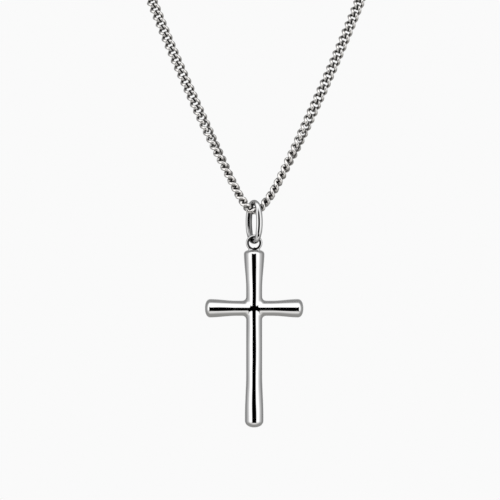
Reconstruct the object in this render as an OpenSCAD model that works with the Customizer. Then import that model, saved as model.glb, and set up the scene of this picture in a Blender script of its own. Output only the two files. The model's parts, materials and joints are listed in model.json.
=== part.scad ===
// Cross pendant on its chain.
// A polished metal cross of round bars that flare to their ends hangs by a soldered eye and an
// oval bail on a fine curb chain, which runs round to a plain clasp at the nape.
// Millimetres, +Z up, the front faces -Y. The origin is where the clasp bears on the nape.

/* [Cross] */
// Height of the cross, without its eye
cross_h = 41.6; // [34:0.1:52]
// Width across the arms
cross_w = 23.1; // [18:0.1:30]
// From the top of the cross down to the axis of the arms
crossing_drop = 13.6; // [11:0.1:17]
// Diameter of the upright at its waist
upright_waist_d = 3.7; // [3:0.05:4.4]
// Diameter of the upright's top end
upright_top_d = 4.85; // [4:0.05:6]
// Diameter of the upright's foot
upright_foot_d = 4.35; // [3.8:0.05:6]
// Diameter of the arms at their waist
arm_waist_d = 3.5; // [2.9:0.05:4.2]
// Diameter of the arms' ends
arm_end_d = 4.3; // [3.6:0.05:5.4]
// Radius of the rounded inner corners
inner_corner_r = 0.9; // [0.5:0.05:1.6]
// Depth of the rounded end of the top
top_cap_h = 1.3; // [0.8:0.05:2]
// Depth of the rounded end of the foot
foot_cap_h = 1.5; // [0.8:0.05:2.2]
// Depth of the rounded ends of the arms
arm_cap_h = 1.3; // [0.8:0.05:2]
// Length of the foot's end that keeps its full diameter
foot_straight = 2.4; // [0.5:0.1:5]

/* [Eye] */
// Diameter of the eye's hole
eye_hole_d = 2.5; // [2.4:0.05:3.2]
// Diameter of the eye's wire
eye_wire_d = 0.65; // [0.5:0.05:0.75]
// How deep the eye is sunk in the top of the cross
eye_sink = 0.15; // [0.1:0.05:0.3]
// Diameter of the solder collar where it meets the cross
collar_d = 3.1; // [2.4:0.05:3.6]
// Height of the solder collar above the cross
collar_h = 0.4; // [0.2:0.05:0.6]

/* [Bail] */
// Height of the oval bail over its wire
bail_h = 10.25; // [8.5:0.05:13]
// Width of the oval bail over its wire
bail_w = 5.9; // [5.7:0.05:7.5]
// Diameter of the bail's wire
bail_wire_d = 1.3; // [1:0.05:1.35]
// Turn of the bail about the vertical
bail_turn = 33; // [20:1:42]

/* [Chain] */
// Diameter of the round space that the chain fills
chain_d = 2; // [1.6:0.05:2.2]

/* [Clasp] */
// Length of the clasp's body
clasp_l = 8.4; // [6:0.1:12]
// Diameter of the clasp's body
clasp_d = 3.2; // [2.4:0.1:4]
// Hole of the eye at each end of the clasp
clasp_eye_hole_d = 1.5; // [1.3:0.05:2]
// Wire of the clasp's eyes
clasp_eye_wire_d = 0.7; // [0.5:0.05:0.9]
// Hole of the ring between the clasp and the chain
ring_hole_d = 2.6; // [2.3:0.05:3.4]
// Wire of that ring
ring_wire_d = 0.7; // [0.5:0.05:0.8]

/* [Clearances] */
// Gap between the chain and the bail's arch
chain_gap = 0.15; // [0.1:0.01:0.3]
// Gap between the bail and the top of the cross's eye
eye_gap = 0.2; // [0.15:0.01:0.3]
// Gap between a ring and what it holds
ring_gap = 0.1; // [0.05:0.01:0.2]

/* [Hidden] */
$fn = 96;

steel = [0.78, 0.78, 0.79];
chain_steel = [0.62, 0.61, 0.6];

// One half of the chain, from the lowest point to the nape: how far it lies to the side, back
// from the plane of the V, off that plane where it crosses the bail, and up
SIDE = 0;
BACK = 1;
SWAY = 2;
UP = 3;
nape_back = 107;
nape_up = 151;
route = [
    [0, 0, 0, 0],
    [1, 0, 0.65, 0.25],
    [1.9, 0, 1.05, 1.1],
    [4.1, 0, 1, 4.2],
    [8.3, 0, 0.5, 12.5],
    [12.4, 0, 0.2, 21],
    [16.3, 0.5, 0, 29.5],
    [20.2, 1.5, 0, 38.5],
    [24.5, 3.5, 0, 49],
    [32, 9, 0, 68],
    [40, 18, 0, 88],
    [48, 31, 0, 106],
    [54, 47, 0, 121],
    [56, 66, 0, 133.5],
    [51, 85, 0, 143],
    [36, 99.5, 0, 149],
    [22, 105, 0, 150.7]
];
rings_per_span = [2, 2, 2, 2, 2, 2, 2, 2, 3, 3, 3, 3, 3, 3, 3, 2, 2];
chain_sides = 8;
// How far a swept tube may turn its section at its start, so that both halves share a face
first_up = [0, 0, 1];

chain_r = chain_d / 2;
clasp_r = clasp_d / 2;
pivot = [0, clasp_r - nape_back, -nape_up];

// The clasp's row at the nape, from its middle outwards
clasp_eye_x = clasp_l / 2 + clasp_eye_hole_d / 2;
clasp_eye_out_x = clasp_eye_x + clasp_eye_hole_d / 2 + clasp_eye_wire_d;
ring_r = (ring_hole_d + ring_wire_d) / 2;
ring_x = clasp_eye_out_x - clasp_eye_wire_d - ring_gap - ring_wire_d / 2 + ring_r;
chain_end_x = ring_x + ring_r + ring_wire_d / 2 + ring_gap;

// The bail, about the chain's lowest point
bail_wire_r = bail_wire_d / 2;
arch_top = chain_r + chain_gap + bail_wire_r;
oval_half_h = (bail_h - bail_wire_d) / 2;
oval_half_w = (bail_w - bail_wire_d) / 2;
arch_slack = 0.03;
arch_r = chain_r + chain_gap + bail_wire_r + arch_slack;
side_r = (pow(oval_half_h - arch_r, 2) + pow(oval_half_w, 2) - pow(arch_r, 2))
    / (2 * (oval_half_w - arch_r));
side_angle = atan2(oval_half_h - arch_r, side_r - oval_half_w);
side_skin = 0.01;
side_lap = 0.6;
bail_centre = arch_top - oval_half_h;
bail_foot = arch_top - 2 * oval_half_h;

// The cross, about the bail's lowest point
eye_r = (eye_hole_d + eye_wire_d) / 2;
eye_z = bail_wire_r + eye_gap - eye_hole_d / 2;
shoulder_z = eye_z - eye_hole_d / 2 - eye_wire_d + eye_sink;
crossing_z = shoulder_z - crossing_drop;
upright_r = upright_waist_d / 2;
arm_r = arm_waist_d / 2;
corner_skin = 0.04;
corner_tube_r = min(upright_r, arm_r) - corner_skin;

// Limbs of the cross: reach, waist radius, end radius, where the flare starts and ends, depth
// of the rounded end and its squareness
REACH = 0;
WAIST = 1;
TIP = 2;
FLARE_FROM = 3;
FLARE_TO = 4;
CAP = 5;
SQUARE = 6;
flare_clear = 1.2;
flare_start_up = arm_r + inner_corner_r + flare_clear;
flare_start_side = upright_r + inner_corner_r + flare_clear;
foot_reach = cross_h - crossing_drop;
foot_flare_share = 0.52;
limb_top = [crossing_drop, upright_r, upright_top_d / 2, flare_start_up,
    crossing_drop - top_cap_h / 2, top_cap_h, 2.4];
limb_foot = [foot_reach, upright_r, upright_foot_d / 2, foot_reach * foot_flare_share,
    foot_reach - foot_cap_h - foot_straight, foot_cap_h, 2];
limb_arm = [cross_w / 2, arm_r, arm_end_d / 2, flare_start_side,
    cross_w / 2 - arm_cap_h / 2, arm_cap_h, 2.3];
flare_steps = 10;
cap_steps = 8;
flare_bend = 0.3;

// A flare that starts level and soon runs straight, from 0 to 1
function flare(u) = (sqrt(u * u + flare_bend * flare_bend) - flare_bend)
    / (sqrt(1 + flare_bend * flare_bend) - flare_bend);

// Radius of a limb at a distance along it, before its end is rounded
function limb_r(limb, t) =
    let (u = (t - limb[FLARE_FROM]) / (limb[FLARE_TO] - limb[FLARE_FROM]))
    limb[WAIST] + (limb[TIP] - limb[WAIST]) * flare(min(max(u, 0), 1));

// Share of that radius that the rounded end leaves, at an angle from its start to its tip
function cap_share(a, square) = pow(cos(a), 2 / square);
function cap_depth(a, square) = pow(sin(a), 2 / square);

// Points of half a limb's outline, as radius and distance along it
function limb_outline(limb) = concat(
    [[0, 0], [limb[WAIST], 0]],
    [for (i = [0:flare_steps])
        let (t = limb[FLARE_FROM] + (limb[REACH] - limb[CAP] - limb[FLARE_FROM]) * i / flare_steps)
        [limb_r(limb, t), t]],
    [for (i = [1:cap_steps - 1])
        let (a = 90 * i / cap_steps)
        let (t = limb[REACH] - limb[CAP] + limb[CAP] * cap_depth(a, limb[SQUARE]))
        [limb_r(limb, t) * cap_share(a, limb[SQUARE]), t]],
    [[0, limb[REACH]]]
);

function unit(v) = v / norm(v);

// The route's points on one side, in place, and their directions
function side_points(side) = [for (i = [0:len(route)])
    i < len(route)
        ? pivot + [side * route[i][SIDE], route[i][BACK] + side * route[i][SWAY], route[i][UP]]
        : [side * chain_end_x, clasp_r, 0]];
function side_directions(side, pts) = [for (i = [0:len(pts) - 1])
    i == 0 ? unit([side * route[1][SIDE], side * route[1][SWAY], 0])
    : i == len(pts) - 1 ? [-side, 0, 0]
    : (pts[i + 1] - pts[i - 1]) / (norm(pts[i + 1] - pts[i]) + norm(pts[i] - pts[i - 1]))];

// A smooth curve between two points with directions, at a share t of the way
function between(p, m, q, n, t) =
    let (d = norm(q - p))
    (2 * t * t * t - 3 * t * t + 1) * p + (t * t * t - 2 * t * t + t) * d * m
    + (3 * t * t - 2 * t * t * t) * q + (t * t * t - t * t) * d * n;
function side_curve(pts, dirs) = concat(
    [for (i = [0:len(pts) - 2])
        for (k = [0:rings_per_span[i] - 1])
            between(pts[i], dirs[i], pts[i + 1], dirs[i + 1], k / rings_per_span[i])],
    [pts[len(pts) - 1]]);

// Directions along the curve, and a cross direction carried along it without twist
function curve_directions(c, first, last) = [for (i = [0:len(c) - 1])
    i == 0 ? first : i == len(c) - 1 ? last : unit(unit(c[i + 1] - c[i]) + unit(c[i] - c[i - 1]))];
function carried(dirs) = [for (i = 0, u = first_up;
    i < len(dirs);
    i = i + 1, u = i < len(dirs) ? unit(u - (u * dirs[i]) * dirs[i]) : u) u];

module chain_half(side) {
    pts = side_points(side);
    dirs = side_directions(side, pts);
    curve = side_curve(pts, dirs);
    along = curve_directions(curve, dirs[0], dirs[len(dirs) - 1]);
    ups = carried(along);
    count = len(curve);
    ring_points = [for (i = [0:count - 1])
        let (u = ups[i], v = cross(along[i], ups[i]))
        for (k = [0:chain_sides - 1])
            let (a = (k + 0.5) * 360 / chain_sides)
            curve[i] + chain_r * (cos(a) * u + sin(a) * v)];
    walls = [for (i = [0:count - 2])
        for (k = [0:chain_sides - 1])
            let (m = (k + 1) % chain_sides)
            [i * chain_sides + k, (i + 1) * chain_sides + k,
             (i + 1) * chain_sides + m, i * chain_sides + m]];
    start = [for (k = [0:chain_sides - 1]) k];
    finish = [for (k = [0:chain_sides - 1]) count * chain_sides - 1 - k];
    polyhedron(ring_points, concat(walls, [start, finish]), convexity = 10);
}

module chain_left() {
    color(chain_steel) chain_half(-1);
}

module chain_right() {
    color(chain_steel) chain_half(1);
}

// Part of a round wire ring in the XY plane
module wire_arc(r, wire_r, from, sweep) {
    rotate([0, 0, from])
        rotate_extrude(angle = sweep)
            translate([r, 0])
                circle(wire_r);
}

// A closed round wire ring in the XY plane
module wire_ring(r, wire_r) {
    rotate_extrude()
        translate([r, 0])
            circle(wire_r);
}

// The oval bail: two end arcs of round wire, and two side arcs a hair thinner that run a little
// way into them
module bail() {
    half_end = 90 - side_angle;
    half_side = side_angle + side_lap;
    color(steel)
        translate(pivot + [0, 0, bail_centre])
            rotate([0, 0, bail_turn - 90])
                rotate([90, 0, 0])
                    for (flip = [0, 180])
                        rotate([0, 0, flip]) {
                            translate([0, oval_half_h - arch_r, 0])
                                wire_arc(arch_r, bail_wire_r, 90 - half_end, 2 * half_end);
                            translate([oval_half_w - side_r, 0, 0])
                                wire_arc(side_r, bail_wire_r - side_skin, -half_side, 2 * half_side);
                        }
}

// One limb of the cross, turned about its own axis, standing on the crossing
module limb(shape) {
    rotate_extrude()
        polygon(limb_outline(shape));
}

// The rounded inner corners: quarter bends that lie just inside the bars where they end
module inner_corners() {
    bend_r = inner_corner_r + corner_tube_r + corner_skin;
    for (x = [-1, 1])
        for (z = [-1, 1])
            translate([x * (upright_r + inner_corner_r), 0, z * (arm_r + inner_corner_r)])
                rotate([90, 0, 0])
                    wire_arc(bend_r, corner_tube_r, x * z > 0 ? (x > 0 ? 180 : 0) : (x > 0 ? 90 : 270), 90);
}

// The eye on the cross's top and the solder that holds it
module cross_eye() {
    translate([0, 0, eye_z])
        rotate([90, 0, 0])
            wire_ring(eye_r, eye_wire_d / 2);
    translate([0, 0, shoulder_z - top_cap_h / 2])
        cylinder(h = collar_h + top_cap_h / 2, d1 = collar_d, d2 = collar_d - 2 * collar_h);
}

module cross() {
    color(steel)
        translate(pivot + [0, 0, bail_foot]) {
            translate([0, 0, crossing_z]) {
                limb(limb_top);
                rotate([180, 0, 0])
                    limb(limb_foot);
                rotate([0, 90, 0])
                    limb(limb_arm);
                rotate([0, -90, 0])
                    limb(limb_arm);
                inner_corners();
            }
            cross_eye();
        }
}

// The clasp: a plain rounded body with an eye at each end
module clasp() {
    color(steel)
        translate([0, clasp_r, 0]) {
            rotate([0, 90, 0])
                cylinder(h = clasp_l - clasp_d, d = clasp_d, center = true);
            for (side = [-1, 1]) {
                translate([side * (clasp_l - clasp_d) / 2, 0, 0])
                    sphere(clasp_r);
                translate([side * clasp_eye_x, 0, 0])
                    rotate([90, 0, 0])
                        wire_ring((clasp_eye_hole_d + clasp_eye_wire_d) / 2, clasp_eye_wire_d / 2);
            }
        }
}

// The ring that joins the clasp's eye to the chain's last link
module end_ring(side) {
    color(steel)
        translate([side * ring_x, clasp_r, 0])
            wire_ring(ring_r, ring_wire_d / 2);
}

module ring_left() {
    end_ring(-1);
}

module ring_right() {
    end_ring(1);
}

chain_left();
chain_right();
bail();
cross();
clasp();
ring_left();
ring_right();
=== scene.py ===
"""Looks of a polished steel cross pendant on its curb chain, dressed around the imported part.

The cross, its oval bail, the links of the chain, the clasp and its rings are built as meshes in
metres, in the part's own frame: +Z up, the front faces -Y, the origin at the nape.
"""

import json
import logging
import math
from dataclasses import dataclass, field
from enum import Enum

import bpy
import numpy as np
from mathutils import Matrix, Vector


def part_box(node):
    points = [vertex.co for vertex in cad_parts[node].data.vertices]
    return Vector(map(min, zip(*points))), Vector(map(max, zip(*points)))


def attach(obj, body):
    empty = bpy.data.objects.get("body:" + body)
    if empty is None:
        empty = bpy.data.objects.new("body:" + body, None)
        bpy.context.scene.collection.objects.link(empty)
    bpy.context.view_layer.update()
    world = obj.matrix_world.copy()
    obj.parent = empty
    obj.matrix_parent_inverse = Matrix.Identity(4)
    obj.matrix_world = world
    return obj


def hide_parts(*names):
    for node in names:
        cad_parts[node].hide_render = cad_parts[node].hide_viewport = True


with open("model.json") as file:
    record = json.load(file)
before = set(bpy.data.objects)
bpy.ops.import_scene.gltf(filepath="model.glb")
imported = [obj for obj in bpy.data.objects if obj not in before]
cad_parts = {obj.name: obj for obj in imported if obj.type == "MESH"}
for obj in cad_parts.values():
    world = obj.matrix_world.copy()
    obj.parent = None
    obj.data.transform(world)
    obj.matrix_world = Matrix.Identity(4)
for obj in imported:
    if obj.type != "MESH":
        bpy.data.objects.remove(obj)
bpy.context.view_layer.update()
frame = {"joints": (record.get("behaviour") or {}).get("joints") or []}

MM = 0.001
WELD_DECIMALS = 6  # points that agree to this many decimals of a millimetre are one
LINE_CHUNK = 64  # points of a line that are compared with a shell at once
log = logging.getLogger("cross_pendant")

Stops = tuple[tuple[float, str], ...]


class Body(Enum):
    """The bodies of the part that pieces ride on."""

    NECKLACE = "necklace"
    BAIL = "bail"
    CROSS = "cross"


class Slot(Enum):
    """The record's material slots."""

    STEEL = "steel"
    CHAIN = "chain"


class Side(Enum):
    """The two halves of the chain, as the sign of X."""

    LEFT = -1
    RIGHT = 1


def linear_colour(text: str) -> tuple[float, float, float, float]:
    """Turns an sRGB hex colour into the linear colour that shaders use.

    Args:
        text: the colour as #RRGGBB.

    Returns:
        Red, green, blue and an alpha of 1.
    """
    shares = [int(text[i:i + 2], 16) / 255 for i in (1, 3, 5)]
    r, g, b = (s / 12.92 if s <= 0.04045 else ((s + 0.055) / 1.055) ** 2.4 for s in shares)
    return r, g, b, 1.0


def add_node(tree: bpy.types.NodeTree, kind: str, settings: dict, links: dict) -> bpy.types.Node:
    """Adds a node, sets it up and links it.

    Args:
        tree: the node tree that gets the node.
        kind: the node's type, such as ShaderNodeMath.
        settings: values by the name of a property, or by the name or number of an input. A
            colour ramp's positions and colours go under stops.
        links: output sockets by the name or number of the input that takes them.

    Returns:
        The new node.
    """
    node = tree.nodes.new(kind)
    for key, value in settings.items():
        if key == "stops":
            elements = node.color_ramp.elements
            for _ in range(len(value) - len(elements)):
                elements.new(0.5)
            for element, (position, colour) in zip(elements, value):
                element.position = position
                element.color = linear_colour(colour)
        elif isinstance(key, str) and hasattr(node, key):
            setattr(node, key, value)
        else:
            node.inputs[key].default_value = value
    for key, source in links.items():
        tree.links.new(source, node.inputs[key])
    return node


def unit(v: np.ndarray) -> np.ndarray:
    """Scales vectors to a length of 1.

    Args:
        v: one vector, or one in each row.

    Returns:
        The vectors, each 1 long.
    """
    return v / np.linalg.norm(v, axis=-1, keepdims=True)


def smooth_step(x: np.ndarray | float, low: float, high: float) -> np.ndarray:
    """Rises smoothly from 0 at low to 1 at high.

    Args:
        x: where to take it.
        low: where it leaves 0.
        high: where it reaches 1.

    Returns:
        The step's height at x.
    """
    t = np.clip((np.asarray(x, float) - low) / (high - low), 0, 1)
    return t * t * (3 - 2 * t)


@dataclass
class Shell:
    """A mesh in the making: points, faces with four corners, and how dark each point is painted.

    Each point's share runs from 0 on an open face to 1 where shade or a dark reflection is painted
    in full.
    """

    points: np.ndarray
    faces: np.ndarray
    recess: np.ndarray | None = None

    def __post_init__(self) -> None:
        """Starts with no shade painted on."""
        if self.recess is None:
            self.recess = np.zeros(len(self.points))

    def paint_shade_near(self, line: np.ndarray, radius: float, reach: float,
                  strength: float = 1.0) -> None:
        """Paints shade on the points that lie close to a neighbouring wire.

        Args:
            line: points along the neighbour's middle line.
            radius: the neighbour's radius.
            reach: how far from its surface the painted shade fades out.
            strength: the painted shade where the two touch.
        """
        away = np.full(len(self.points), np.inf)
        for start in range(0, len(line), LINE_CHUNK):
            gap = self.points[:, None] - line[None, start:start + LINE_CHUNK]
            away = np.minimum(away, np.linalg.norm(gap, axis=2).min(1))
        # Shade is painted darker the closer a point lies to the neighbour.
        near = strength * (1 - smooth_step(away - radius, 0, reach))
        self.recess = np.maximum(self.recess, near)

    def paint_dark_facing(self, line: np.ndarray, way: np.ndarray, low: float, high: float,
                    strength: float | np.ndarray = 1.0) -> None:
        """Paints dark the side of a swept wire that faces one way, as painted shade or a painted
        dark reflection.

        Args:
            line: the middle line that the shell was swept along.
            way: the direction for each point of the line, or one for all.
            low: how far a face points that way where the painting starts.
            high: how far it points that way where the painting is full.
            strength: the painted darkness where it is full, for each point of the line or for all.
        """
        rim = unit(self.points.reshape(len(line), -1, 3) - line[:, None])
        facing = (rim * unit(np.broadcast_to(way, line.shape))[:, None]).sum(2)
        full = np.broadcast_to(strength, len(line))[:, None]
        # Shade or a dark reflection is painted on the faces that point that way.
        painted_share = full * smooth_step(facing, low, high)
        self.recess = np.maximum(self.recess, painted_share.ravel())

    def placed(self, centres: np.ndarray, turns: np.ndarray) -> "Shell":
        """Repeats the shell at several places.

        Args:
            centres: where each copy goes, a row each.
            turns: for each copy, the directions of its x, y and z axes as rows.

        Returns:
            All the copies as one shell.
        """
        points = np.einsum("vi,nij->nvj", self.points, turns) + centres[:, None]
        steps = np.arange(len(centres))[:, None, None] * len(self.points)
        faces = (self.faces[None] + steps).reshape(-1, 4)
        return Shell(points.reshape(-1, 3), faces, np.tile(self.recess, len(centres)))

    def with_shell(self, other: "Shell") -> "Shell":
        """Joins another shell to this one.

        Args:
            other: the shell to add.

        Returns:
            Both as one shell.
        """
        faces = np.concatenate([self.faces, other.faces + len(self.points)])
        return Shell(np.concatenate([self.points, other.points]), faces,
                     np.concatenate([self.recess, other.recess]))

    def to_piece(self, name: str, material: bpy.types.Material) -> bpy.types.Object:
        """Makes a smooth-shaded object of the shell, with points that coincide made one.

        Args:
            name: the object's name.
            material: the finish of all its faces.

        Returns:
            The object, linked to the scene.
        """
        mesh = bpy.data.meshes.new(name)
        _, first, index = np.unique(np.round(self.points, WELD_DECIMALS), axis=0,
                                    return_index=True, return_inverse=True)
        faces = [list(dict.fromkeys(face)) for face in index.reshape(-1)[self.faces].tolist()]
        mesh.from_pydata((self.points[first] * MM).tolist(), [],
                         [face for face in faces if len(face) > 2])
        # Stores how much shade or dark reflection is painted on each point, for the finish to
        # read.
        mesh.attributes.new("recess", "FLOAT", "POINT").data.foreach_set(
            "value", self.recess[first].astype(np.float32))
        mesh.validate()
        mesh.shade_smooth()
        mesh.materials.append(material)
        piece = bpy.data.objects.new(name, mesh)
        bpy.context.scene.collection.objects.link(piece)
        return piece


def grid_faces(rows: int, sides: int, closed: bool) -> np.ndarray:
    """Joins rows of points that each run round a shape.

    Args:
        rows: how many rows there are.
        sides: points in each row.
        closed: whether the last row joins the first.

    Returns:
        The faces, four corners in a row.
    """
    i, k = np.meshgrid(np.arange(rows if closed else rows - 1), np.arange(sides), indexing="ij")
    j, m = (i + 1) % rows, (k + 1) % sides
    faces = np.stack([i * sides + k, i * sides + m, j * sides + m, j * sides + k], -1)
    return faces.reshape(-1, 4)


def closed_wire(line: np.ndarray, across: np.ndarray, radius: float, sides: int) -> Shell:
    """Sweeps round wire along a closed line.

    Args:
        line: points of the closed line, a row each, without repeating the first.
        across: for each point, a direction that is roughly square to the line.
        radius: the wire's radius.
        sides: corners of the wire's section.

    Returns:
        The wire as a shell.
    """
    along = unit(np.roll(line, -1, 0) - np.roll(line, 1, 0))
    u = unit(across - (across * along).sum(1, keepdims=True) * along)
    v = np.cross(along, u)
    angle = np.arange(sides) * 2 * math.pi / sides
    rim = np.cos(angle)[None, :, None] * u[:, None] + np.sin(angle)[None, :, None] * v[:, None]
    points = (line[:, None] + radius * rim).reshape(-1, 3)
    return Shell(points, grid_faces(len(line), sides, closed=True))


def ring_line(centre: np.ndarray, axis: np.ndarray, radius: float, steps: int) -> np.ndarray:
    """Lays points evenly round a circle.

    Args:
        centre: the circle's middle.
        axis: the direction that is square to it.
        radius: its radius.
        steps: how many points.

    Returns:
        The points, a row each.
    """
    axis = unit(np.asarray(axis, float))
    off_axis = [0.3, 0.5, 0.8]
    first = unit(np.cross(axis, off_axis))
    second = np.cross(axis, first)
    angle = np.arange(steps)[:, None] * 2 * math.pi / steps
    return centre + radius * (np.cos(angle) * first + np.sin(angle) * second)


def round_ring(centre: np.ndarray, axis: np.ndarray, radius: float, wire_r: float,
               steps: int, sides: int) -> Shell:
    """Makes a round ring of round wire, with shade painted on its inner side.

    Args:
        centre: the ring's middle.
        axis: the direction of its hole.
        radius: from the middle to the wire's own middle.
        wire_r: the wire's radius.
        steps: sections round the ring.
        sides: corners of each section.

    Returns:
        The ring as a shell.
    """
    line = ring_line(centre, axis, radius, steps)
    shell = closed_wire(line, np.tile(unit(axis), (steps, 1)), wire_r, sides)
    # Paints shade on the ring's inner side.
    shell.paint_dark_facing(line, centre - line, low=-0.3, high=0.4, strength=0.9)
    return shell


def turned_shape(profile: np.ndarray, base: np.ndarray, axis: np.ndarray, sides: int) -> Shell:
    """Turns a profile about an axis, as a lathe does.

    Args:
        profile: radius and distance along the axis, a row each, from one end to the other.
        base: where the distance is 0.
        axis: the direction of the distance.
        sides: corners round the shape.

    Returns:
        The turned shape as a shell.
    """
    axis = unit(np.asarray(axis, float))
    rim = ring_line(np.zeros(3), axis, 1.0, sides)
    points = base + profile[:, 1, None, None] * axis + profile[:, 0, None, None] * rim[None]
    return Shell(points.reshape(-1, 3), grid_faces(len(profile), sides, closed=False))


@dataclass(frozen=True)
class SteelFinish:
    """Stainless steel, buffed or tumbled to a mirror.

    To the eye the open faces are a neutral mirror whose reflections waver a little, as on
    metal polished by hand. Faint haze is left from polishing. In recesses, on inner sides and
    where parts touch, shade is painted into the colour, dark with a brown cast, and the same
    painting draws a dark reflection down the bail's front.
    """

    # Real polishing marks are a few micrometres wide, too fine to show in the render. The haze
    # and the waver are drawn as coarse as they need to show.

    name: str
    bright: str = "#CACACA"
    # The colour of the painted shade and the painted dark reflections.
    recess: str = "#0D0B0A"
    mirror_roughness: float = 0.02
    haze_roughness: float = 0.06
    painted_dark_roughness: float = 0.2
    haze_mm: float = 2.5
    waver_mm: float = 5.0
    waver_height_mm: float = 0.25
    haze_from: float = 0.35
    haze_to: float = 0.7
    patchiness: float = 0.25

    def material(self) -> bpy.types.Material:
        """Builds the finish's material.

        Returns:
            The material, named as the finish is.
        """
        made = bpy.data.materials.new(self.name)
        made.use_nodes = True
        tree = made.node_tree
        tree.nodes.clear()
        place = add_node(tree, "ShaderNodeTexCoord", {}, {})
        haze = add_node(tree, "ShaderNodeTexNoise",
                        {"Scale": 1 / (self.haze_mm * MM), "Detail": 3.0},
                        {"Vector": place.outputs["Object"]})
        # Reads how dark each point is painted, as shade or a dark reflection.
        depth = add_node(tree, "ShaderNodeAttribute", {"attribute_name": "recess"}, {})
        uneven = add_node(tree, "ShaderNodeMapRange",
                          {"To Min": 1 - self.patchiness, "To Max": 1 + self.patchiness},
                          {"Value": haze.outputs["Fac"]})
        painted_dark_mix = add_node(tree, "ShaderNodeMath", {"operation": "MULTIPLY", "use_clamp": True},
                        {0: depth.outputs["Fac"], 1: uneven.outputs[0]})
        colour = add_node(tree, "ShaderNodeMix",
                          {"data_type": "RGBA", 6: linear_colour(self.bright),
                           7: linear_colour(self.recess)}, {0: painted_dark_mix.outputs[0]})
        open_rough = add_node(tree, "ShaderNodeMapRange",
                              {"From Min": self.haze_from, "From Max": self.haze_to,
                               "To Min": self.mirror_roughness, "To Max": self.haze_roughness},
                              {"Value": haze.outputs["Fac"]})
        rough = add_node(tree, "ShaderNodeMix", {"data_type": "FLOAT", 3: self.painted_dark_roughness},
                         {0: painted_dark_mix.outputs[0], 2: open_rough.outputs[0]})
        waver = add_node(tree, "ShaderNodeTexNoise",
                         {"Scale": 1 / (self.waver_mm * MM), "Detail": 0.0},
                         {"Vector": place.outputs["Object"]})
        bump = add_node(tree, "ShaderNodeBump",
                        {"Strength": 1.0, "Distance": self.waver_height_mm * MM},
                        {"Height": waver.outputs["Fac"]})
        shader = add_node(tree, "ShaderNodeBsdfPrincipled", {"Metallic": 1.0},
                          {"Base Color": colour.outputs[2], "Roughness": rough.outputs[0],
                           "Normal": bump.outputs["Normal"]})
        add_node(tree, "ShaderNodeOutputMaterial", {}, {"Surface": shader.outputs["BSDF"]})
        return made


@dataclass(frozen=True)
class PaperFinish:
    """Matt white paper laid on a light table: calendered pulp, which scatters light evenly.

    To the eye it is a plain pale ground with no gloss. The table below it lifts its shadows.
    """

    name: str = "background_paper"
    colour: str = "#F3F3F2"
    table_strength: float = 0.18
    roughness: float = 0.9
    # Paper's fibres are far finer than a pixel, so the grain is drawn as coarse as it can show.
    grain_mm: float = 6.0
    grain_height_mm: float = 0.1
    grain_strength: float = 0.05

    def material(self) -> bpy.types.Material:
        """Builds the finish's material.

        Returns:
            The material, named as the finish is.
        """
        made = bpy.data.materials.new(self.name)
        made.use_nodes = True
        tree = made.node_tree
        tree.nodes.clear()
        place = add_node(tree, "ShaderNodeTexCoord", {}, {})
        grain = add_node(tree, "ShaderNodeTexNoise", {"Scale": 1 / (self.grain_mm * MM)},
                         {"Vector": place.outputs["Object"]})
        bump = add_node(tree, "ShaderNodeBump",
                        {"Strength": self.grain_strength, "Distance": self.grain_height_mm * MM},
                        {"Height": grain.outputs["Fac"]})
        shader = add_node(tree, "ShaderNodeBsdfPrincipled",
                          {"Base Color": linear_colour(self.colour), "Roughness": self.roughness,
                           "Emission Color": linear_colour(self.colour),
                           "Emission Strength": self.table_strength},
                          {"Normal": bump.outputs["Normal"]})
        add_node(tree, "ShaderNodeOutputMaterial", {}, {"Surface": shader.outputs["BSDF"]})
        return made


@dataclass(frozen=True)
class DarkFlag:
    """A dark panel that stands by the lens, in degrees as seen from the pendant.

    The spread is how much half its height grows with each degree off its middle.
    """

    half_width: float
    middle: float
    half_height: float
    spread: float = 0.0


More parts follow.
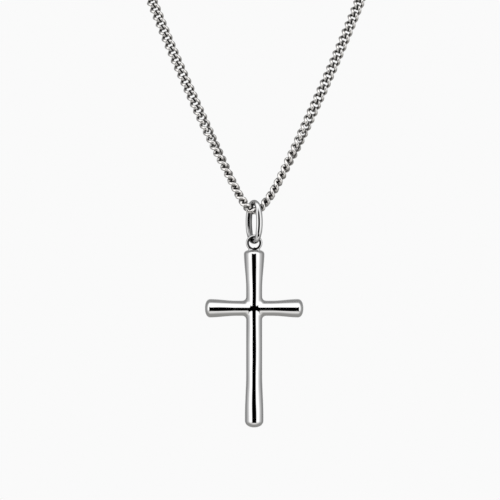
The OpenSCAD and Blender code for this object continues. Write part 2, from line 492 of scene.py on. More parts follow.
@dataclass
class Studio:
    """The camera, the light tent that the metal mirrors, and the pale floor.

    The tent's cloth is white in front and falls to grey behind, by the angle from the lens in
    degrees. Dark flags stand by the lens, and give the polished bars the dark line down their
    middle. All of it is fixed in the room.
    """

    target: Vector
    pixel_mm: float = 0.235
    image_px: int = 500
    lens_mm: float = 200.0
    sensor_mm: float = 36.0
    target_px: tuple[float, float] = (253.65, 210.3)
    background: str = "#FAFAFA"
    flags: tuple[DarkFlag, ...] = (DarkFlag(26.3, -9.4, 20.5, 0.3), DarkFlag(46, -34.5, 3.5))
    flag_edge: float = 2.4
    beside: Stops = (
        (0, "#FFFFFF"), (60, "#FFFFFF"), (76, "#C6C6C6"), (95, "#ABABAB"), (118, "#848484"),
        (134, "#6D6D6D"), (152, "#A4A4A4"), (167, "#999999"), (171, "#2A2A2A"), (180, "#1A1A1A"))
    above: Stops = (
        (0, "#FFFFFF"), (66, "#FFFFFF"), (80, "#A6A6A6"), (92, "#8A8A8A"), (130, "#818181"),
        (155, "#A2A2A2"), (180, "#878787"))
    below: Stops = (
        (0, "#EFEEEC"), (50, "#E0DFDD"), (66, "#C2C1BF"), (82, "#8E8D8B"), (180, "#7F7E7C"))
    horizon_blend: float = 4.0
    steep_from: float = 8.0
    steep_to: float = 40.0
    strength: float = 1.72
    floor_z: float = -0.30
    floor_half: float = 0.7

    def place_camera(self) -> None:
        """Sets a level camera so that the target falls on its pixel of the photograph."""
        middle = (self.image_px - 1) / 2
        right = (middle - self.target_px[0]) * self.pixel_mm * MM
        up = (self.target_px[1] - middle) * self.pixel_mm * MM
        away = self.image_px * self.pixel_mm * MM * self.lens_mm / self.sensor_mm
        camera = bpy.data.cameras.new("camera")
        camera.lens, camera.sensor_width = self.lens_mm, self.sensor_mm
        camera.clip_start, camera.clip_end = 0.01, 10.0
        holder = bpy.data.objects.new("camera", camera)
        holder.location = self.target + Vector((right, -away, up))
        holder.rotation_euler = (math.radians(90), 0, 0)
        bpy.context.scene.collection.objects.link(holder)
        bpy.context.scene.camera = holder

    def tent(self) -> None:
        """Builds the tent in the world's shader, from the direction of each ray."""
        world = bpy.data.worlds.new("light_tent")
        bpy.context.scene.world = world
        world.use_nodes = True
        tree = world.node_tree
        tree.nodes.clear()
        place = add_node(tree, "ShaderNodeTexCoord", {}, {})
        way = add_node(tree, "ShaderNodeSeparateXYZ", {}, {0: place.outputs["Generated"]})
        front = add_node(tree, "ShaderNodeMath", {"operation": "MULTIPLY", 1: -1.0},
                         {0: way.outputs["Y"]}).outputs[0]
        angles = []
        for operation, sources in (("ARCCOSINE", {0: front}), ("ARCSINE", {0: way.outputs["Z"]}),
                                   ("ARCTAN2", {0: way.outputs["X"], 1: front})):
            angle = add_node(tree, "ShaderNodeMath", {"operation": operation}, sources)
            angles.append(add_node(tree, "ShaderNodeMath", {"operation": "DEGREES"},
                                   {0: angle.outputs[0]}).outputs[0])
        off_axis, height, turn = angles
        share = add_node(tree, "ShaderNodeMath", {"operation": "DIVIDE", 1: 180.0},
                         {0: off_axis})
        beside, above, below = (
            add_node(tree, "ShaderNodeValToRGB",
                     {"stops": [(degrees / 180, colour) for degrees, colour in stops]},
                     {"Fac": share.outputs[0]}).outputs["Color"]
            for stops in (self.beside, self.above, self.below))
        level = add_node(tree, "ShaderNodeMapRange",
                         {"From Min": -self.horizon_blend, "From Max": self.horizon_blend},
                         {"Value": height})
        poles = add_node(tree, "ShaderNodeMix", {"data_type": "RGBA"},
                         {0: level.outputs[0], 6: below, 7: above})
        steep = add_node(tree, "ShaderNodeMath", {"operation": "ABSOLUTE"}, {0: height})
        lean = add_node(tree, "ShaderNodeMapRange",
                        {"From Min": self.steep_from, "From Max": self.steep_to},
                        {"Value": steep.outputs[0]})
        cloth = add_node(tree, "ShaderNodeMix", {"data_type": "RGBA"},
                         {0: lean.outputs[0], 6: beside, 7: poles.outputs[2]})
        room = add_node(tree, "ShaderNodeMix",
                        {"data_type": "RGBA", 7: linear_colour("#000000")},
                        {0: self.flagged(tree, turn, height), 6: cloth.outputs[2]})
        mirrored = add_node(tree, "ShaderNodeBackground", {"Strength": self.strength},
                            {"Color": room.outputs[2]})
        seen = add_node(tree, "ShaderNodeBackground",
                        {"Color": linear_colour(self.background)}, {})
        path = add_node(tree, "ShaderNodeLightPath", {}, {})
        mix = add_node(tree, "ShaderNodeMixShader", {},
                       {0: path.outputs["Is Camera Ray"], 1: mirrored.outputs[0],
                        2: seen.outputs[0]})
        add_node(tree, "ShaderNodeOutputWorld", {}, {"Surface": mix.outputs[0]})

    def flagged(self, tree: bpy.types.NodeTree, turn: bpy.types.NodeSocket,
                height: bpy.types.NodeSocket) -> bpy.types.NodeSocket:
        """Gives 1 on the dark flags by the lens and 0 elsewhere.

        Args:
            tree: the world's node tree.
            turn: the direction's angle to the side of the lens.
            height: the direction's angle above the horizon.

        Returns:
            The flags' socket.
        """
        aside = add_node(tree, "ShaderNodeMath", {"operation": "ABSOLUTE"}, {0: turn})
        edge = self.flag_edge / 2
        covered = None
        for flag in self.flags:
            off = add_node(tree, "ShaderNodeMath", {"operation": "SUBTRACT", 1: flag.middle},
                           {0: height})
            off = add_node(tree, "ShaderNodeMath", {"operation": "ABSOLUTE"}, {0: off.outputs[0]})
            over = add_node(tree, "ShaderNodeMath",
                            {"operation": "MULTIPLY_ADD", 1: -flag.spread},
                            {0: aside.outputs[0], 2: off.outputs[0]})
            steps = [
                add_node(tree, "ShaderNodeMapRange",
                         {"interpolation_type": "SMOOTHSTEP", "From Min": limit + edge,
                          "From Max": limit - edge}, {"Value": source.outputs[0]}).outputs[0]
                for source, limit in ((aside, flag.half_width), (over, flag.half_height))]
            inside = add_node(tree, "ShaderNodeMath", {"operation": "MULTIPLY"},
                              dict(enumerate(steps))).outputs[0]
            covered = inside if covered is None else add_node(
                tree, "ShaderNodeMath", {"operation": "MAXIMUM"},
                {0: covered, 1: inside}).outputs[0]
        return covered

    def lay_floor(self) -> None:
        """Lays the pale floor below the hanging pendant, out of the photograph's view."""
        h = self.floor_half / MM
        corners = np.array([[-h, -h, 0], [h, -h, 0], [h, h, 0], [-h, h, 0]], float)
        corners += [0, self.target.y / MM, self.floor_z / MM]
        paper = PaperFinish().material()
        floor = Shell(corners, np.array([[0, 1, 2, 3]])).to_piece("floor", paper)
        floor.visible_glossy = False

    def build(self) -> None:
        """Sets up the colours, the camera, the tent and the floor."""
        bpy.context.scene.view_settings.view_transform = "Standard"
        self.place_camera()
        self.tent()
        self.lay_floor()
        log.info("studio: camera %.0f mm, %d dark flags", self.lens_mm, len(self.flags))


@dataclass(frozen=True)
class Limb:
    """One limb of the cross, in millimetres from the crossing along its own axis."""

    reach: float
    waist_r: float
    tip_r: float
    flare_from: float
    flare_to: float
    cap_h: float
    cap_square: float

    def radius(self, t: np.ndarray) -> np.ndarray:
        """Radius at distances along the limb, before its end is rounded.

        Args:
            t: the distances.

        Returns:
            The radii.
        """
        rise = smooth_step(t, self.flare_from, self.flare_to)
        return self.waist_r + (self.tip_r - self.waist_r) * rise

    def cap(self, angle: np.ndarray) -> tuple[np.ndarray, np.ndarray]:
        """The rounded end, by an angle from 0 where it starts to a quarter turn at its tip.

        Args:
            angle: the angles in radians.

        Returns:
            Radii, and distances along the limb.
        """
        power = 2 / self.cap_square
        t = self.reach - self.cap_h + self.cap_h * np.sin(angle) ** power
        return self.radius(t) * np.maximum(np.cos(angle), 0) ** power, t


@dataclass
class CrossPendant:
    """The cast cross of flared round bars, its soldered eye and the mound of solder.

    Sizes are in millimetres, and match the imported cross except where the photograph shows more.
    Each end's cap is its height and how square it is: 2 makes it an ellipse. The bars blend by
    inner_corner_r in the four inner corners, and by centre_blend_r on the front and back. The
    eye's wire is eye_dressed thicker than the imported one, and its foot sinks in by eye_sink.
    """

    eye_centre: np.ndarray
    body: Body = Body.CROSS
    node: str = "cross"
    crossing_drop: float = 13.6
    upright_waist_r: float = 1.88
    arm_waist_r: float = 1.775
    top_r: float = 2.425
    foot_r: float = 2.175
    arm_tip_r: float = 2.15
    top_rise: float = 0.12
    top_flare_from: float = 4.6
    top_straight: float = 0.2
    foot_flare_length: float = 12.5
    foot_straight: float = 2.8
    arm_flare_from: float = 4.2
    arm_straight: float = 1.2
    top_cap: tuple[float, float] = (1.35, 3.3)
    foot_cap: tuple[float, float] = (1.6, 2.15)
    arm_cap: tuple[float, float] = (1.3, 2.3)
    inner_corner_r: float = 0.9
    centre_blend_r: float = 0.06
    blend_margin: float = 0.6
    eye_hole_r: float = 1.25
    eye_wire_r: float = 0.325
    eye_sink: float = 0.15
    eye_dressed: float = 0.045
    eye_steps: int = 96
    eye_sides: int = 24
    solder_r: float = 1.45
    solder_h: float = 0.34
    solder_root: float = 0.4
    solder_depth: float = 0.45
    solder_square: float = 4.0
    solder_sides: int = 64
    # A drop at the eye's foot, painted fully dark as shade.
    drop_r: float = 0.5
    drop_tallness: float = 1.1
    drop_at: tuple[float, float, float] = (0.1, 0, 0.16)
    drop_sides: int = 32
    # The pit is a line across the eye's foot round which shade is painted.
    pit_at: tuple[float, float, float] = (0.1, 0, 0.15)
    pit_r: float = 0.42
    pit_reach: float = 0.3
    quarter_steps: int = 10
    cap_rings: int = 8
    cap_side_share: float = 0.5
    ring_crowding: float = 1.15
    limb_steps: dict[str, int] = field(
        default_factory=lambda: {"top": 40, "foot": 84, "arm": 36})

    def __post_init__(self) -> None:
        """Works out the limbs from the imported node's box."""
        low, high = (np.array(c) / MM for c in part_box(self.node))
        shoulder = self.eye_centre[2] - self.eye_hole_r - 2 * self.eye_wire_r + self.eye_sink
        self.shoulder = np.array([self.eye_centre[0], self.eye_centre[1], shoulder])
        self.crossing = self.shoulder - [0, 0, self.crossing_drop]
        foot_reach = self.crossing[2] - low[2]
        arm_reach = (high[0] - low[0]) / 2
        self.limbs = {
            "top": Limb(self.crossing_drop + self.top_rise, self.upright_waist_r, self.top_r,
                        self.top_flare_from, self.crossing_drop - self.top_straight,
                        *self.top_cap),
            "foot": Limb(foot_reach, self.upright_waist_r, self.foot_r,
                         foot_reach - self.foot_flare_length, foot_reach - self.foot_straight,
                         *self.foot_cap),
            "arm": Limb(arm_reach, self.arm_waist_r, self.arm_tip_r, self.arm_flare_from,
                        arm_reach - self.arm_straight, *self.arm_cap),
        }

    def depth(self, p: np.ndarray) -> np.ndarray:
        """How far points lie outside the blended crossing of the two bars.

        Args:
            p: points about the crossing, a row each.

        Returns:
            Distances, negative inside the metal.
        """
        x, y, z = p.T
        to_upright, to_arms = np.hypot(x, y), np.hypot(z, y)
        facing = y * y / np.maximum(to_upright * to_arms, 1e-9)
        blend = self.inner_corner_r * (1 - facing) + self.centre_blend_r * facing
        a, b = to_upright - self.upright_waist_r, to_arms - self.arm_waist_r
        pull = np.hypot(np.maximum(blend - a, 0), np.maximum(blend - b, 0))
        return np.maximum(blend, np.minimum(a, b)) - pull

    def drawn_to_surface(self, p: np.ndarray) -> np.ndarray:
        """Moves points onto the surface of the blended crossing.

        Args:
            p: points about the crossing, a row each.

        Returns:
            The points on the surface.
        """
        rounds = 12
        step = 1e-4
        least_slope = 0.05
        longest_move = 0.5
        for _ in range(rounds):
            slope = np.stack([(self.depth(p + step * e) - self.depth(p - step * e)) / (2 * step)
                              for e in np.eye(3)], 1)
            size = np.maximum((slope * slope).sum(1, keepdims=True), least_slope)
            move = np.clip(self.depth(p)[:, None] / size, -longest_move, longest_move)
            p = p - move * slope
        return p

    def lattice(self) -> tuple[np.ndarray, np.ndarray]:
        """The outer faces of a plus-shaped block of cells.

        Returns:
            Whole-number corners about the crossing, and the faces between them.
        """
        m, n = self.quarter_steps, self.limb_steps
        low = np.array([-m - n["arm"], -m, -m - n["foot"]])
        high = np.array([m + n["arm"], m, m + n["top"]])
        cells = np.zeros(high - low, bool)
        x, z = (np.abs(np.arange(low[a], high[a]) + 0.5) < m for a in (0, 2))
        cells[x, :, :] = True
        cells[:, :, z] = True
        padded = np.pad(cells, 1).astype(int)
        corners = []
        for axis in range(3):
            change = np.diff(padded, axis=axis)
            steps = np.zeros((4, 3), int)
            steps[[1, 2], (axis + 1) % 3] = 1
            steps[[2, 3], (axis + 2) % 3] = 1
            for sign in (1, -1):
                base = np.argwhere(change == sign) - 1
                base[:, axis] += 1
                quad = base[:, None] + (steps[::-1] if sign == 1 else steps)[None]
                corners.append(quad.reshape(-1, 3))
        every = np.concatenate(corners) + low
        unique, index = np.unique(every, axis=0, return_inverse=True)
        return unique, index.reshape(-1, 4)

    def block_point(self, q: np.ndarray) -> np.ndarray:
        """First place of corners on the crossing's own block.

        Args:
            q: whole-number corners, a row each, none further out than the block.

        Returns:
            Points about the crossing.
        """
        turn = q / self.quarter_steps * math.pi / 4
        r = (self.upright_waist_r + self.arm_waist_r) / 2
        s = r * np.sin(turn)
        out = r * np.cos(np.abs(turn).min(1))
        face = np.abs(q[:, 1]) == self.quarter_steps
        points = s.copy()
        points[face, 1] = np.sign(q[face, 1]) * r * np.cos(
            np.minimum(np.abs(turn[face, 0]), np.abs(turn[face, 2])))
        column = ~face
        points[column, 0] = np.sign(q[column, 0]) * out[column]
        points[column, 2] = np.sign(q[column, 2]) * out[column]
        return points

    def limb_points(self, q: np.ndarray, axis: int, sign: int, limb: Limb,
                    steps: int) -> np.ndarray:
        """Places the corners of one limb on its surface.

        Args:
            q: whole-number corners of the limb, a row each.
            axis: the limb's axis, 0 for an arm and 2 for the upright.
            sign: which way along it the limb runs.
            limb: its sizes.
            steps: its rings.

        Returns:
            Points about the crossing.
        """
        m = self.quarter_steps
        other = 2 - axis
        side = q[:, [other, 1]].astype(float)
        ring = np.abs(side).max(1)
        rim = side / np.maximum(ring, 1)[:, None]
        turn = rim * math.pi / 4
        wide = np.abs(rim[:, 0]) >= np.abs(rim[:, 1])
        away = np.where(wide[:, None], np.stack([np.sign(rim[:, 0]) * np.cos(turn[:, 1]),
                                                 np.sin(turn[:, 1])], 1),
                        np.stack([np.sin(turn[:, 0]), np.sign(rim[:, 1]) * np.cos(turn[:, 0])], 1))
        inner = np.zeros_like(q)
        inner[:, axis] = sign * m
        inner[:, other] = np.round(rim[:, 0] * m)
        inner[:, 1] = np.round(rim[:, 1] * m)
        start = np.abs(self.block_point(inner)[:, axis])
        layer = np.abs(q[:, axis]) - m
        plain = steps - self.cap_rings
        cap_start = limb.reach - limb.cap_h
        along = start + (cap_start - start) * (layer / plain) ** self.ring_crowding
        angle = np.clip((layer - plain) / self.cap_rings, 0, 1) * self.cap_side_share
        on_end = layer == steps
        angle = np.where(on_end, 1 - (1 - self.cap_side_share) * ring / m, angle) * math.pi / 2
        cap_r, cap_t = limb.cap(angle)
        capped = layer > plain
        t = np.where(capped, cap_t, along)
        r = np.where(capped, cap_r, limb.radius(along))
        points = np.zeros((len(q), 3))
        points[:, axis] = sign * t
        points[:, other] = r * away[:, 0]
        points[:, 1] = r * away[:, 1]
        return points

    def bars(self) -> Shell:
        """The whole cross without its eye.

        Returns:
            The four limbs and their blended crossing as one shell, in the part's frame.
        """
        corners, faces = self.lattice()
        m = self.quarter_steps
        points = self.block_point(np.clip(corners, -m, m))
        for axis, sign, name in ((2, 1, "top"), (2, -1, "foot"), (0, 1, "arm"), (0, -1, "arm")):
            own = corners[:, axis] * sign > m
            points[own] = self.limb_points(corners[own], axis, sign, self.limbs[name],
                                           self.limb_steps[name])
        waist_r = max(self.upright_waist_r, self.arm_waist_r)
        near = np.abs(points).max(1) < waist_r + self.inner_corner_r + self.blend_margin
        points[near] = self.drawn_to_surface(points[near])
        return Shell(points + self.crossing, faces)

    def solder(self) -> Shell:
        """The low mound of solder that the eye stands in, with a drop in the eye's foot painted
        fully dark as shade.

        Returns:
            Both as one shell, in the part's frame.
        """
        up = [0, 0, 1]
        power = 2 / self.solder_square
        t = np.linspace(0, math.pi / 2, self.solder_sides // 4)
        dome = np.stack([np.cos(t) ** power, np.sin(t) ** power], 1)
        profile = np.concatenate([[[0, -self.solder_root], [self.solder_r, -self.solder_root]],
                                  dome * [self.solder_r, self.solder_h]])
        mound = turned_shape(profile, np.zeros(3), up, self.solder_sides)
        mound.points = mound.points * [1, self.solder_depth, 1]
        t = np.linspace(0, math.pi, self.drop_sides * 3 // 4)
        ball = np.stack([np.sin(t), -np.cos(t)], 1)
        profile = ball * [self.drop_r, self.drop_r * self.drop_tallness]
        drop = turned_shape(profile, np.array(self.drop_at), up, self.drop_sides)
        # The drop is painted fully dark, as painted shade in the eye's foot.
        drop.recess[:] = 1
        both = mound.with_shell(drop)
        both.points = both.points + self.shoulder
        return both

    def eye_line(self) -> np.ndarray:
        """The middle line of the eye's wire, whose hole faces front and back."""
        return ring_line(self.eye_centre, np.array([0, 1.0, 0]),
                         self.eye_hole_r + self.eye_wire_r, self.eye_steps)

    def build(self, steel: bpy.types.Material, bail_line: np.ndarray, bail_r: float) -> None:
        """Makes the cross and lets it stand for its node.

        Args:
            steel: the finish of the metal.
            bail_line: the middle line of the bail, which rubs in the eye.
            bail_r: the radius of the bail's wire.
        """
        across = np.array([0, 1.0, 0])
        line = self.eye_line()
        eye = round_ring(self.eye_centre, across, self.eye_hole_r + self.eye_wire_r,
                         self.eye_wire_r + self.eye_dressed, self.eye_steps, self.eye_sides)
        # Paints shade and a dark reflection on the eye's inner side, and shade where the bail rubs
        # in it.
        eye.paint_dark_facing(line, self.eye_centre - line, low=-0.5, high=0.15)
        eye.paint_shade_near(bail_line, bail_r, reach=0.5, strength=0.9)
        shell = self.bars().with_shell(eye).with_shell(self.solder())
        # Paints shade round the eye's foot, where it meets the mound.
        pit = self.shoulder + np.linspace(-1, 1, 9)[:, None] * across + self.pit_at
        shell.paint_shade_near(pit, self.pit_r, self.pit_reach)
        piece = shell.to_piece("cross_metal", steel)
        dress(piece, self.body, self.node)


@dataclass
class OvalBail:
    """The oval ring of round wire between the eye and the chain.

    Its limbs are broadened along the direction of its hole. The wire is round again towards both
    ends, by shares of half its height.
    """

    pivot: np.ndarray
    body: Body = Body.BAIL
    node: str = "bail"
    wire_r: float = 0.65
    width: float = 5.9
    end_r: float = 1.83
    turn_deg: float = 33.0
    top_rise: float = 0.15
    broadened: float = 1.24
    round_from: float = 0.45
    round_to: float = 0.8
    steps: int = 192
    sides: int = 32

    def hole_way(self) -> np.ndarray:
        """The direction of the ring's hole, which the chain runs along."""
        turn = math.radians(self.turn_deg)
        return np.array([math.cos(turn), math.sin(turn), 0])

    def line(self) -> np.ndarray:
        """The wire's middle line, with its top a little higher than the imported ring's.

        Returns:
            Points evenly round the oval, a row each.
        """
        low, high = (c.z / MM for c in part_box(self.node))
        half_h = (high - low) / 2 - self.wire_r
        half_w = self.width / 2 - self.wire_r
        rise = half_h - self.end_r
        side_r = (rise ** 2 + half_w ** 2 - self.end_r ** 2) / (2 * (half_w - self.end_r))
        side_angle = math.atan2(rise, side_r - half_w)
        end_length = self.end_r * (math.pi - 2 * side_angle)
        side_length = side_r * 2 * side_angle
        quarter = (end_length + side_length) / 2
        points = []
        for s in np.arange(self.steps) * 4 * quarter / self.steps:
            half, along = divmod(s, 2 * quarter)
            if along < side_length:
                a = along / side_r - side_angle
                p = np.array([half_w - side_r + side_r * math.cos(a), side_r * math.sin(a)])
            else:
                a = side_angle + (along - side_length) / self.end_r
                p = np.array([self.end_r * math.cos(a), rise + self.end_r * math.sin(a)])
            points.append(-p if half else p)
        centre = np.array([self.pivot[0], self.pivot[1], (low + high) / 2])
        across = np.cross(self.hole_way(), [0, 0, 1.0])
        flat = np.array(points)
        flat[:, 1] *= np.where(flat[:, 1] > 0, 1 + self.top_rise / half_h, 1)
        return centre + flat[:, :1] * across + flat[:, 1:] * np.array([0, 0, 1.0])

    def build(self, steel: bpy.types.Material, eye: np.ndarray, eye_r: float,
              chain: np.ndarray) -> None:
        """Makes the bail and lets it stand for its node.

        Args:
            steel: the finish of the metal.
            eye: the middle line of the cross's eye.
            eye_r: the radius of the eye's wire.
            chain: the line of the chain through the bail.
        """
        hole_way = self.hole_way()
        line = self.line()
        shell = closed_wire(line, np.tile(hole_way, (len(line), 1)), self.wire_r, self.sides)
        outward = unit(line - line.mean(0))
        front = np.array([0, -1.0, 0])
        # The front limb gets a dark line painted down its front, a painted reflection of a dark
        # flag.
        near_limb = smooth_step(outward @ front, 0.3, 0.6)
        # Paints shade on the bail's inner side.
        shell.paint_dark_facing(line, -outward, low=0.05, high=0.85, strength=0.75)
        shell.paint_dark_facing(line, front, low=0.93, high=0.98, strength=0.95 * near_limb)
        # Paints shade where the eye and the chain rub in the bail.
        shell.paint_shade_near(eye, eye_r, reach=2.2, strength=0.8)
        shell.paint_shade_near(chain, radius=1.0, reach=0.6, strength=0.9)
        from_middle = 2 * np.abs(line[:, 2] - line[:, 2].mean()) / np.ptp(line[:, 2])
        round_again = smooth_step(from_middle, self.round_from, self.round_to)
        wider = (self.broadened - 1) * (1 - round_again)
        off = (shell.points - self.pivot) @ hole_way * np.repeat(wider, self.sides)
        shell.points = shell.points + off[:, None] * hole_way
        dress(shell.to_piece("bail_ring", steel), self.body, self.node)


@dataclass
class ChainRoute:
    """Where the chain runs: from the bail up both sides and round to the nape.

    The columns of the points are how far each lies to the side, back from the plane of the V,
    off that plane where the chain crosses the bail, and up, in millimetres from the pivot. Each
    row of a lean is a height above the pivot and how far the chain hangs to the right there.
    """

    pivot: np.ndarray
    end_gap: float = 0.1
    samples: int = 40
    stretches_in_bail: int = 3
    lean_left: tuple[tuple[float, float], ...] = (
        (0, 0), (5, 0.34), (15, 0.42), (30, 0.58), (70, 0.6), (120, 0))
    lean_right: tuple[tuple[float, float], ...] = (
        (0, 0), (5, 0.2), (15, 0.34), (24, 0.2), (70, 0.17), (120, 0))
    points: tuple[tuple[float, float, float, float], ...] = (
        (0, 0, 0, 0),
        (1, 0, 0.65, 0.25),
        (1.9, 0, 1.05, 1.1),
        (4.1, 0, 1, 4.2),
        (8.3, 0, 0.5, 12.5),
        (12.4, 0, 0.2, 21),
        (16.3, 0.5, 0, 29.5),
        (20.2, 1.5, 0, 38.5),
        (24.5, 3.5, 0, 49),
        (32, 9, 0, 68),
        (40, 18, 0, 88),
        (48, 31, 0, 106),
        (54, 47, 0, 121),
        (56, 66, 0, 133.5),
        (51, 85, 0, 143),
        (36, 99.5, 0, 149),
        (22, 105, 0, 150.7),
    )

    def curve(self, side: Side) -> np.ndarray:
        """Points along one half, from the pivot to the nape.

        Args:
            side: which half.

        Returns:
            Points close together, a row each.
        """
        s = side.value
        table = np.array(self.points, float)
        own = np.stack([s * table[:, 0], table[:, 1] + s * table[:, 2], table[:, 3]], 1)
        low, high = (np.array(c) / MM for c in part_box("ring_right"))
        end = np.array([s * (high[0] + self.end_gap), (low[1] + high[1]) / 2,
                        (low[2] + high[2]) / 2])
        p = np.concatenate([own + self.pivot, [end]])
        step = np.linalg.norm(np.diff(p, axis=0), axis=1)
        way = (p[2:] - p[:-2]) / (step[1:] + step[:-1])[:, None]
        first = unit(np.array([s * table[1, 0], s * table[1, 2], 0]))
        way = np.concatenate([[first], way, [[-s, 0, 0]]])
        t = np.linspace(0, 1, self.samples, endpoint=False)[:, None]
        parts = [
            (2 * t ** 3 - 3 * t ** 2 + 1) * p[i] + (t ** 3 - 2 * t ** 2 + t) * d * way[i]
            + (3 * t ** 2 - 2 * t ** 3) * p[i + 1] + (t ** 3 - t ** 2) * d * way[i + 1]
            for i, d in enumerate(step)]
        line = np.concatenate(parts + [p[-1:]])
        up = line[:, 2] - self.pivot[2]
        lean = np.array(self.lean_left if side is Side.LEFT else self.lean_right)
        line[:, 0] += np.interp(up, lean[:, 0], lean[:, 1])
        return line

    def through_bail(self) -> np.ndarray:
        """The lowest stretches of both halves, where the chain runs through the bail."""
        return np.concatenate(
            [self.curve(side)[:self.stretches_in_bail * self.samples] for side in Side])


@dataclass
class CurbChain:
    """The curb chain: equal oval links of round wire, each twisted to lie flat.

    A link's outline has the power link_square, which is 2 for an ellipse. It is twisted by
    twist_deg at each end, and the twist is full at twist_share of half its length. Near the bail
    the links stand edge on to the front. They come round between turn_from and turn_to, which
    are distances along the chain.
    """

    route: ChainRoute
    body: Body = Body.NECKLACE
    pitch: float = 1.9
    wire_r: float = 0.37
    link_half_w: float = 0.99
    twist_deg: float = 57.0
    twist_share: float = 0.78
    hand: int = -1
    link_square: float = 2.15
    painted_shade_reach: float = 0.7
    # How far past a neighbour's wire the shade painted on a link fades out.
    line_steps: int = 40
    wire_sides: int = 14
    last_link_lap: float = -0.1
    turn_from: float = 5.0
    turn_to: float = 36.0
    turn_deg: float = 90.0
    lean_from: float = 55.0
    lean_to: float = 105.0
    loop_middle_back: float = 52.0

    def link(self, pitch: float, ring_end: int = 0) -> Shell:
        """One link about its own middle, its length along X and its width along Y.

        Args:
            pitch: from one link's middle to the next.
            ring_end: the sign of the end that takes a ring and isn't twisted, or 0.

        Returns:
            The link as a shell.
        """
        half = pitch / 2 + self.wire_r
        t = np.arange(self.line_steps) * 2 * math.pi / self.line_steps
        power = 2 / self.link_square
        x = half * np.sign(np.cos(t)) * np.abs(np.cos(t)) ** power
        w = self.link_half_w * np.sign(np.sin(t)) * np.abs(np.sin(t)) ** power
        bend = np.sin(np.clip(x / (half * self.twist_share), -1, 1) * math.pi / 2)
        bend = np.where(x * ring_end > 0, 0, bend)
        turn = self.hand * math.radians(self.twist_deg) * bend
        line = np.stack([x, w * np.cos(turn), w * np.sin(turn)], 1)
        across = np.stack([0 * x, -np.sin(turn), np.cos(turn)], 1)
        shell = closed_wire(line, across, self.wire_r, self.wire_sides)
        # Paints shade where each link passes under its neighbours.
        beside = np.concatenate([line + [pitch, 0, 0], line - [pitch, 0, 0]])
        shell.paint_shade_near(beside, self.wire_r, self.painted_shade_reach)
        return shell

    def faces_out(self, side: Side, middle: np.ndarray, along: np.ndarray,
                  distance: np.ndarray) -> np.ndarray:
        """The direction that the flat of each link faces.

        Args:
            side: which half of the chain.
            middle: the links' middles.
            along: the links' directions.
            distance: how far each lies from the pivot along the chain.

        Returns:
            Directions square to the links.
        """
        pivot = self.route.pivot
        rise = smooth_step(middle[:, 2] - pivot[2], self.lean_from, self.lean_to)[:, None]
        from_neck = middle - pivot - [0, self.loop_middle_back, 0]
        from_neck[:, 2] = 0
        out = np.array([0, -1.0, 0]) * (1 - rise) + unit(from_neck) * rise
        out = unit(out - (out * along).sum(1, keepdims=True) * along)
        still_turned = (1 - smooth_step(distance, self.turn_from, self.turn_to))[:, None]
        turn = math.radians(self.turn_deg) * still_turned
        return out * np.cos(turn) + np.cross(along, out) * np.sin(turn) * side.value

    def build_side(self, side: Side, steel: bpy.types.Material) -> None:
        """Makes one half of the chain and lets it stand for its node.

        Args:
            side: which half.
            steel: the finish of the links.
        """
        curve = self.route.curve(side)
        at = np.concatenate([[0], np.cumsum(np.linalg.norm(np.diff(curve, axis=0), axis=1))])
        # The last link's middle lies this far along, so that its outer half reaches into its ring.
        length = at[-1] + self.last_link_lap
        count = round(length / self.pitch + 0.5)
        pitch = length / (count - 0.5)
        knots = np.arange(count + 1) * pitch
        ends = np.stack([np.interp(knots, at, curve[:, a]) for a in range(3)], 1)
        beyond = knots > at[-1]
        ends[beyond] = curve[-1] + unit(curve[-1] - curve[-2]) * (knots[beyond] - at[-1])[:, None]
        middle = (ends[1:] + ends[:-1]) / 2
        along = unit(ends[1:] - ends[:-1]) * side.value
        flat = self.faces_out(side, middle, along, (np.arange(count) + 0.5) * pitch)
        turns = np.stack([along, np.cross(flat, along), flat], 1)
        name = f"chain_{side.name.lower()}"
        shell = self.link(pitch).placed(middle[:-1], turns[:-1]).with_shell(
            self.link(pitch, side.value).placed(middle[-1:], turns[-1:]))
        piece = shell.to_piece(f"{name}_links", steel)
        dress(piece, self.body, name)
        log.info("%s: %d links of %.3f mm pitch, %.1f mm long", name, count, pitch, at[-1])


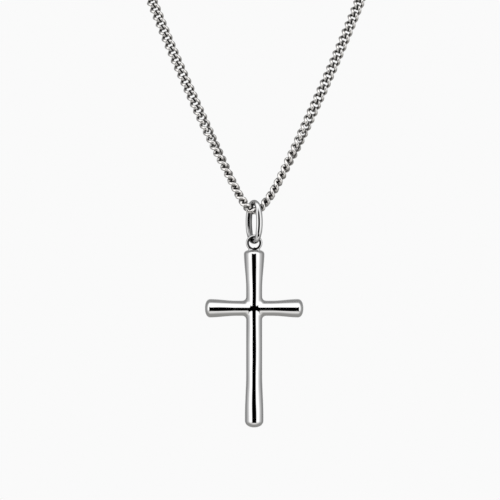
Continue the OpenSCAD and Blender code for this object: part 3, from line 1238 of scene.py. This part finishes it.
@dataclass
class NapeClasp:
    """The plain clasp at the nape, with an eye at each end and a ring to each chain end."""

    body: Body = Body.NECKLACE
    barrel_r: float = 1.6
    eye_hole_r: float = 0.75
    eye_wire_r: float = 0.35
    ring_wire_r: float = 0.35
    groove_depth: float = 0.1
    groove_w: float = 0.35
    profile_steps: int = 121
    barrel_sides: int = 64
    eye_steps: int = 64
    ring_steps: int = 72
    wire_sides: int = 20

    def build_barrel(self, steel: bpy.types.Material) -> None:
        """Makes the clasp's body and its two eyes.

        Args:
            steel: the finish of the metal.
        """
        low, high = (np.array(c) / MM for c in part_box("clasp"))
        centre = (low + high) / 2
        eye_x = (high[0] - low[0]) / 2 - self.eye_hole_r - self.eye_wire_r * 2
        half = eye_x - self.eye_hole_r
        t = np.linspace(-1, 1, self.profile_steps)
        x = half * np.sin(t * math.pi / 2)
        ball = half - self.barrel_r
        off = np.maximum(np.abs(x) - ball, 0)
        r = np.sqrt(np.maximum(self.barrel_r ** 2 - off ** 2, 0))
        groove = np.exp(-((np.abs(x) - ball) / self.groove_w) ** 2) * self.groove_depth
        profile = np.stack([np.maximum(r - groove * (r > self.groove_depth), 0), x], 1)
        shell = turned_shape(profile, centre, np.array([1.0, 0, 0]), self.barrel_sides)
        for sign in (-1, 1):
            shell = shell.with_shell(round_ring(
                centre + [sign * eye_x, 0, 0], np.array([0, 1.0, 0]),
                self.eye_hole_r + self.eye_wire_r, self.eye_wire_r, self.eye_steps,
                self.wire_sides))
        dress(shell.to_piece("clasp_barrel", steel), self.body, "clasp")

    def build_ring(self, side: Side, steel: bpy.types.Material) -> None:
        """Makes the ring between the clasp and one end of the chain.

        Args:
            side: which end.
            steel: the finish of the metal.
        """
        name = f"ring_{side.name.lower()}"
        low, high = (np.array(c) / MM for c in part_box(name))
        radius = (high[0] - low[0]) / 2 - self.ring_wire_r
        shell = round_ring((low + high) / 2, np.array([0, 0, 1.0]), radius,
                           self.ring_wire_r, self.ring_steps, self.wire_sides)
        dress(shell.to_piece(f"{name}_wire", steel), self.body, name)

    def build(self, steel: bpy.types.Material) -> None:
        """Makes the clasp and both rings.

        Args:
            steel: the finish of the metal.
        """
        self.build_barrel(steel)
        for side in Side:
            self.build_ring(side, steel)


def dress(piece: bpy.types.Object, body: Body, node: str) -> None:
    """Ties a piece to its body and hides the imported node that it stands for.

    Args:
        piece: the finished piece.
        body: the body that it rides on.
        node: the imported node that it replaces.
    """
    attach(piece, body.value)
    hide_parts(node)
    log.info("%s stands for %s: %d faces", piece.name, node, len(piece.data.polygons))


def main() -> None:
    """Builds the pendant's pieces in order and reports each."""
    logging.basicConfig(level=logging.INFO, format="%(name)s: %(message)s")
    joints = {j["name"]: np.array(j["pos_m"]) / MM for j in frame["joints"]}
    pivot, eye_centre = joints["bail_swing"], joints["cross_swing"]
    Studio(target=Vector(pivot * MM)).build()
    steel = SteelFinish("polished_cast_steel").material()
    # The links' painted shade, where they pass under their neighbours, gets its own colour here.
    links = SteelFinish("tumbled_link_steel", bright="#D2D0CE", recess="#0A0908", haze_mm=0.5,
                        mirror_roughness=0.03, waver_mm=2.0, waver_height_mm=0.01).material()
    cross = CrossPendant(eye_centre)
    bail = OvalBail(pivot)
    route = ChainRoute(pivot)
    cross.build(steel, bail.line(), bail.wire_r)
    bail.build(steel, cross.eye_line(), cross.eye_wire_r, route.through_bail())
    chain = CurbChain(route)
    for side in Side:
        chain.build_side(side, links)
    NapeClasp().build(steel)


if __name__ == "__main__":
    main()
